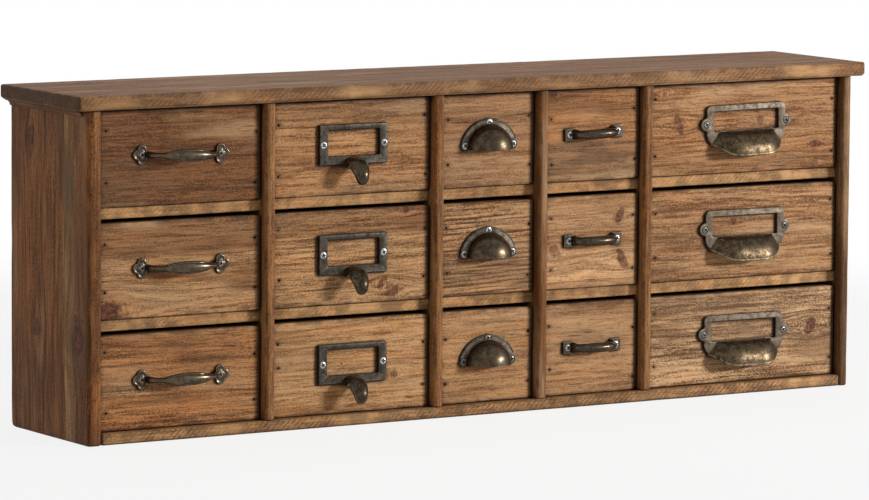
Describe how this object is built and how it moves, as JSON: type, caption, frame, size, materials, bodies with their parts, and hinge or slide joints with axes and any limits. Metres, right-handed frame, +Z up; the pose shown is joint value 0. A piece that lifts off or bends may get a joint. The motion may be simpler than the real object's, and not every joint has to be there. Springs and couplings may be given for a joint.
{
  "type": "tabletop drawer cabinet",
  "caption": "Low wide pine cabinet for a table top, with columns of small drawers of unequal widths, each column with its own cast metal pull.",
  "frame": {"origin": "middle of the underside, where it stands on the table", "axes": "+X to the right as seen from the front, along the row of columns; the drawers face -Y; +Z up"},
  "size_m": [0.968, 0.1851, 0.355],
  "materials": {
    "weathered_top": "weathered, greyish brown, waxed",
    "side_boards": "reddish brown, waxed",
    "frame_wood": "golden brown, waxed",
    "drawer_pine": "knotty, weathered, waxed",
    "box_wood": "raw",
    "back_ply": "raw ply",
    "antique_bronze": "dark antique patina, rubbed edges",
    "gunmetal": "grey patina with a bronze finger",
    "dark_bronze": "dark antique patina, bright bead",
    "old_pewter": "dull pewter, brass rubbing through"
  },
  "bodies": {
    "carcass": {"top_board": "weathered_top", "left_side": "side_boards", "right_side": "side_boards", "bottom_board": "frame_wood", "back_panel": "back_ply", "left_cove": "side_boards", "right_cove": "side_boards", "divider_1": "frame_wood", "divider_2": "frame_wood", "divider_3": "frame_wood", "divider_4": "frame_wood", "upper_shelves": "frame_wood", "lower_shelves": "frame_wood"},
    "drawer_a1": {"drawer_a1_front": "drawer_pine", "drawer_a1_box": "box_wood", "drawer_a1_pull": "antique_bronze"},
    "drawer_a2": {"drawer_a2_front": "drawer_pine", "drawer_a2_box": "box_wood", "drawer_a2_pull": "antique_bronze"},
    "drawer_a3": {"drawer_a3_front": "drawer_pine", "drawer_a3_box": "box_wood", "drawer_a3_pull": "antique_bronze"},
    "drawer_b1": {"drawer_b1_front": "drawer_pine", "drawer_b1_box": "box_wood", "drawer_b1_pull": "gunmetal"},
    "drawer_b2": {"drawer_b2_front": "drawer_pine", "drawer_b2_box": "box_wood", "drawer_b2_pull": "gunmetal"},
    "drawer_b3": {"drawer_b3_front": "drawer_pine", "drawer_b3_box": "box_wood", "drawer_b3_pull": "gunmetal"},
    "drawer_c1": {"drawer_c1_front": "drawer_pine", "drawer_c1_box": "box_wood", "drawer_c1_pull": "dark_bronze"},
    "drawer_c2": {"drawer_c2_front": "drawer_pine", "drawer_c2_box": "box_wood", "drawer_c2_pull": "dark_bronze"},
    "drawer_c3": {"drawer_c3_front": "drawer_pine", "drawer_c3_box": "box_wood", "drawer_c3_pull": "dark_bronze"},
    "drawer_d1": {"drawer_d1_front": "drawer_pine", "drawer_d1_box": "box_wood", "drawer_d1_pull": "antique_bronze"},
    "drawer_d2": {"drawer_d2_front": "drawer_pine", "drawer_d2_box": "box_wood", "drawer_d2_pull": "antique_bronze"},
    "drawer_d3": {"drawer_d3_front": "drawer_pine", "drawer_d3_box": "box_wood", "drawer_d3_pull": "antique_bronze"},
    "drawer_e1": {"drawer_e1_front": "drawer_pine", "drawer_e1_box": "box_wood", "drawer_e1_pull": "old_pewter"},
    "drawer_e2": {"drawer_e2_front": "drawer_pine", "drawer_e2_box": "box_wood", "drawer_e2_pull": "old_pewter"},
    "drawer_e3": {"drawer_e3_front": "drawer_pine", "drawer_e3_box": "box_wood", "drawer_e3_pull": "old_pewter"}
  },
  "joints": [
    {"name": "drawer_a1_slide", "type": "slide", "parent": "carcass", "child": "drawer_a1", "axis": [0, -1, 0], "range_m": [0, 0.11]},
    {"name": "drawer_a2_slide", "type": "slide", "parent": "carcass", "child": "drawer_a2", "axis": [0, -1, 0], "range_m": [0, 0.11]},
    {"name": "drawer_a3_slide", "type": "slide", "parent": "carcass", "child": "drawer_a3", "axis": [0, -1, 0], "range_m": [0, 0.11]},
    {"name": "drawer_b1_slide", "type": "slide", "parent": "carcass", "child": "drawer_b1", "axis": [0, -1, 0], "range_m": [0, 0.11]},
    {"name": "drawer_b2_slide", "type": "slide", "parent": "carcass", "child": "drawer_b2", "axis": [0, -1, 0], "range_m": [0, 0.11]},
    {"name": "drawer_b3_slide", "type": "slide", "parent": "carcass", "child": "drawer_b3", "axis": [0, -1, 0], "range_m": [0, 0.11]},
    {"name": "drawer_c1_slide", "type": "slide", "parent": "carcass", "child": "drawer_c1", "axis": [0, -1, 0], "range_m": [0, 0.11]},
    {"name": "drawer_c2_slide", "type": "slide", "parent": "carcass", "child": "drawer_c2", "axis": [0, -1, 0], "range_m": [0, 0.11]},
    {"name": "drawer_c3_slide", "type": "slide", "parent": "carcass", "child": "drawer_c3", "axis": [0, -1, 0], "range_m": [0, 0.11]},
    {"name": "drawer_d1_slide", "type": "slide", "parent": "carcass", "child": "drawer_d1", "axis": [0, -1, 0], "range_m": [0, 0.11]},
    {"name": "drawer_d2_slide", "type": "slide", "parent": "carcass", "child": "drawer_d2", "axis": [0, -1, 0], "range_m": [0, 0.11]},
    {"name": "drawer_d3_slide", "type": "slide", "parent": "carcass", "child": "drawer_d3", "axis": [0, -1, 0], "range_m": [0, 0.11]},
    {"name": "drawer_e1_slide", "type": "slide", "parent": "carcass", "child": "drawer_e1", "axis": [0, -1, 0], "range_m": [0, 0.11]},
    {"name": "drawer_e2_slide", "type": "slide", "parent": "carcass", "child": "drawer_e2", "axis": [0, -1, 0], "range_m": [0, 0.11]},
    {"name": "drawer_e3_slide", "type": "slide", "parent": "carcass", "child": "drawer_e3", "axis": [0, -1, 0], "range_m": [0, 0.11]}
  ]
}
